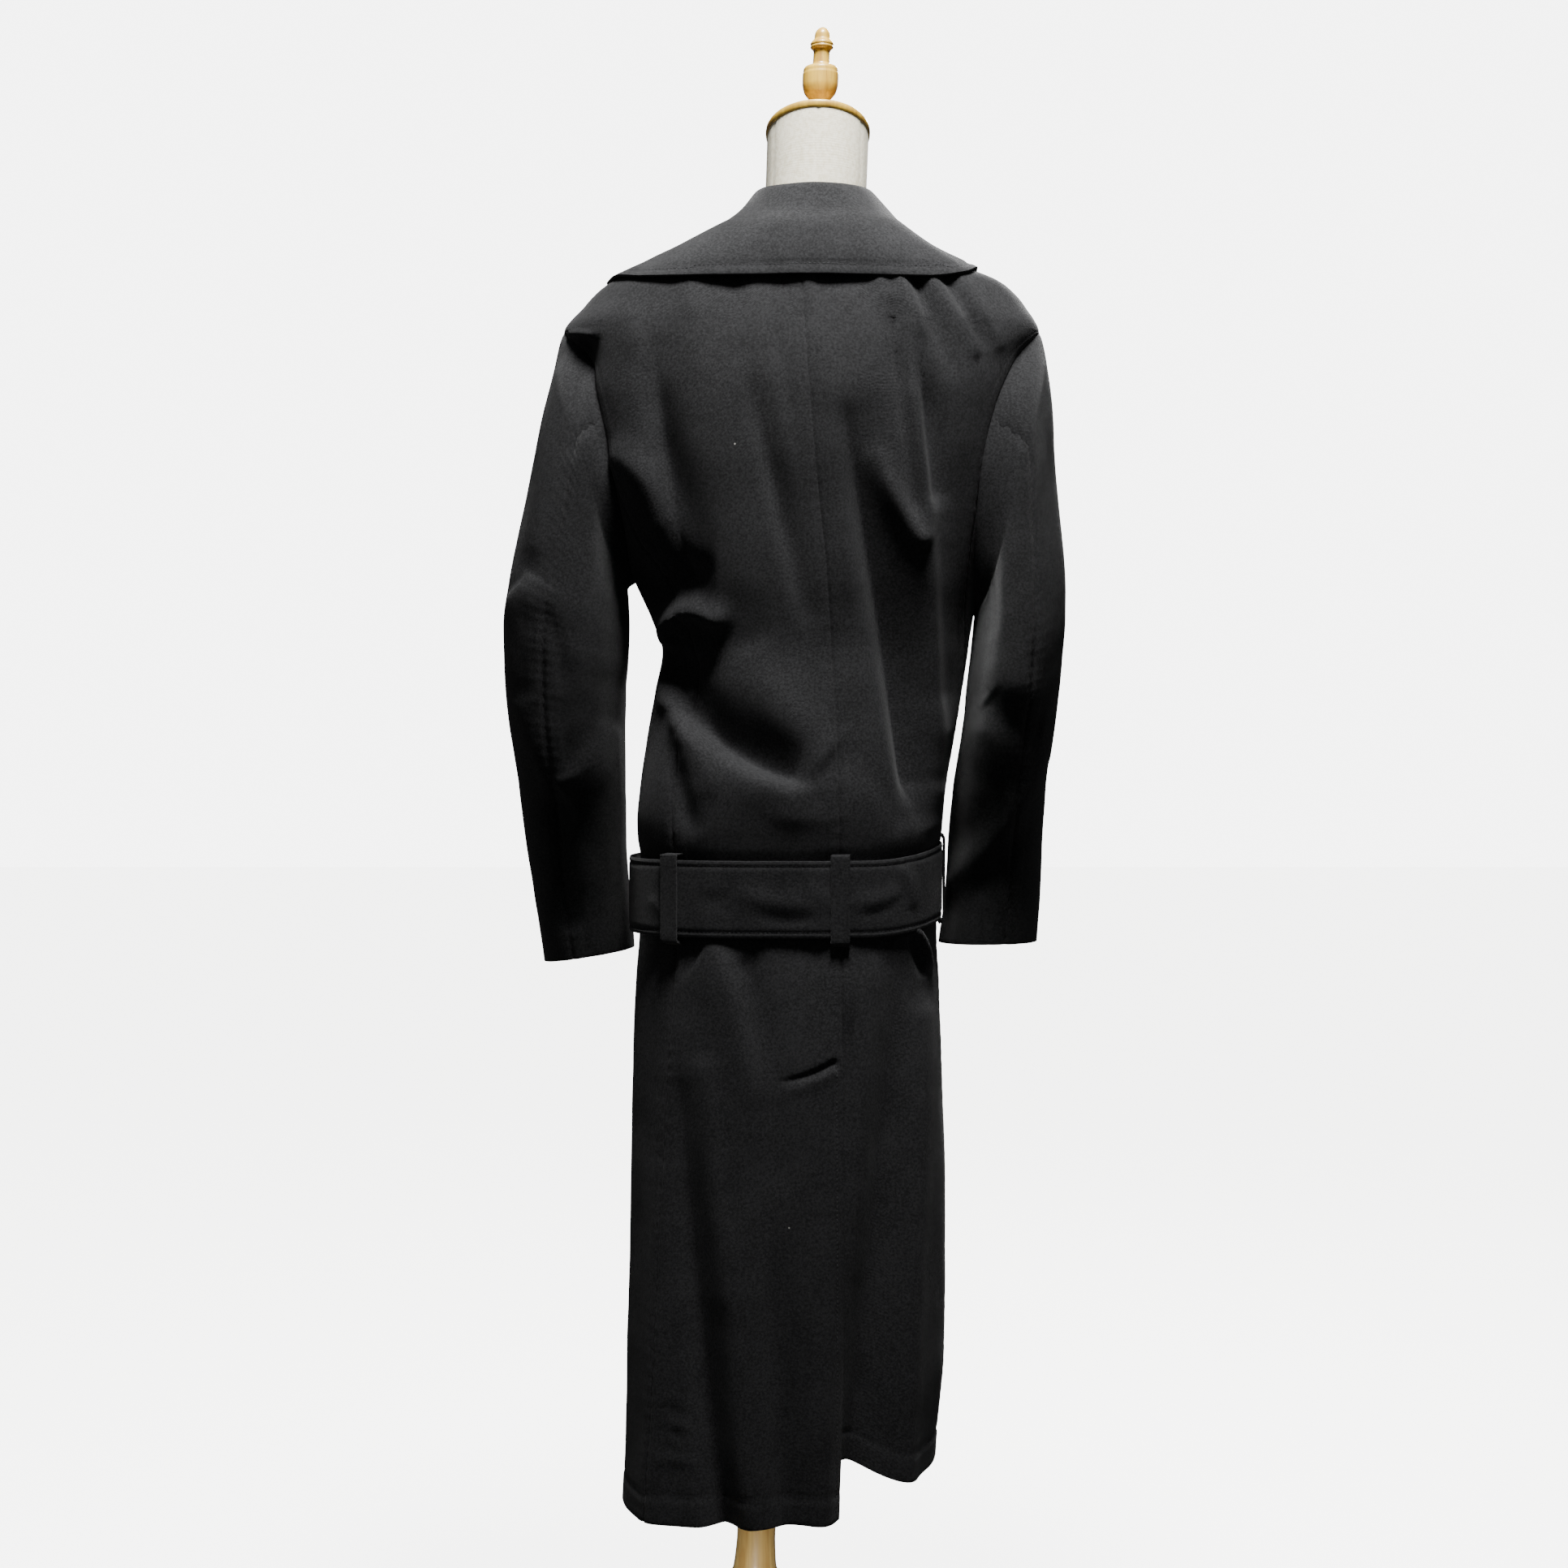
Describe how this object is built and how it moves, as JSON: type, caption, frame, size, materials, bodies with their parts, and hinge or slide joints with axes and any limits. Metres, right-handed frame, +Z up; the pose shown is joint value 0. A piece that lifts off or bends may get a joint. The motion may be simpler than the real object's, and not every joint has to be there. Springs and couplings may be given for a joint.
{
  "type": "belted coat on a limbless dress form and stand",
  "caption": "Calf-length belted wool coat with a shawl collar and back vent, worn by a limbless linen dress form on a turned wooden stand.",
  "frame": {"origin": "on the floor, under the middle of the whole", "axes": "+Z up; the coat's back faces +Y and its front -Y; the wearer's left is +X"},
  "size_m": [0.5499, 0.3662, 1.6992],
  "materials": {
    "black_wool": "brushed wool, matt with a faint nap",
    "linen": "plain-woven linen, stretched smooth",
    "turned_wood": "turned, satin varnish",
    "buckle_horn": "polished dark horn"
  },
  "bodies": {
    "root": {"back_left": "black_wool", "back_right": "black_wool", "side_left": "black_wool", "side_right": "black_wool", "front_left": "black_wool", "front_right": "black_wool", "sleeve_left_top": "black_wool", "sleeve_left_under": "black_wool", "sleeve_right_top": "black_wool", "sleeve_right_under": "black_wool", "collar": "black_wool", "belt": "black_wool", "loop_back": "black_wool", "loop_left": "black_wool", "loop_right": "black_wool", "buckle": "buckle_horn", "form_torso": "linen", "form_cap": "turned_wood", "form_finial": "turned_wood", "stand_pole": "turned_wood", "stand_hub": "turned_wood", "stand_leg_1": "turned_wood", "stand_leg_2": "turned_wood", "stand_leg_3": "turned_wood", "stand_leg_4": "turned_wood"}
  },
  "joints": []
}
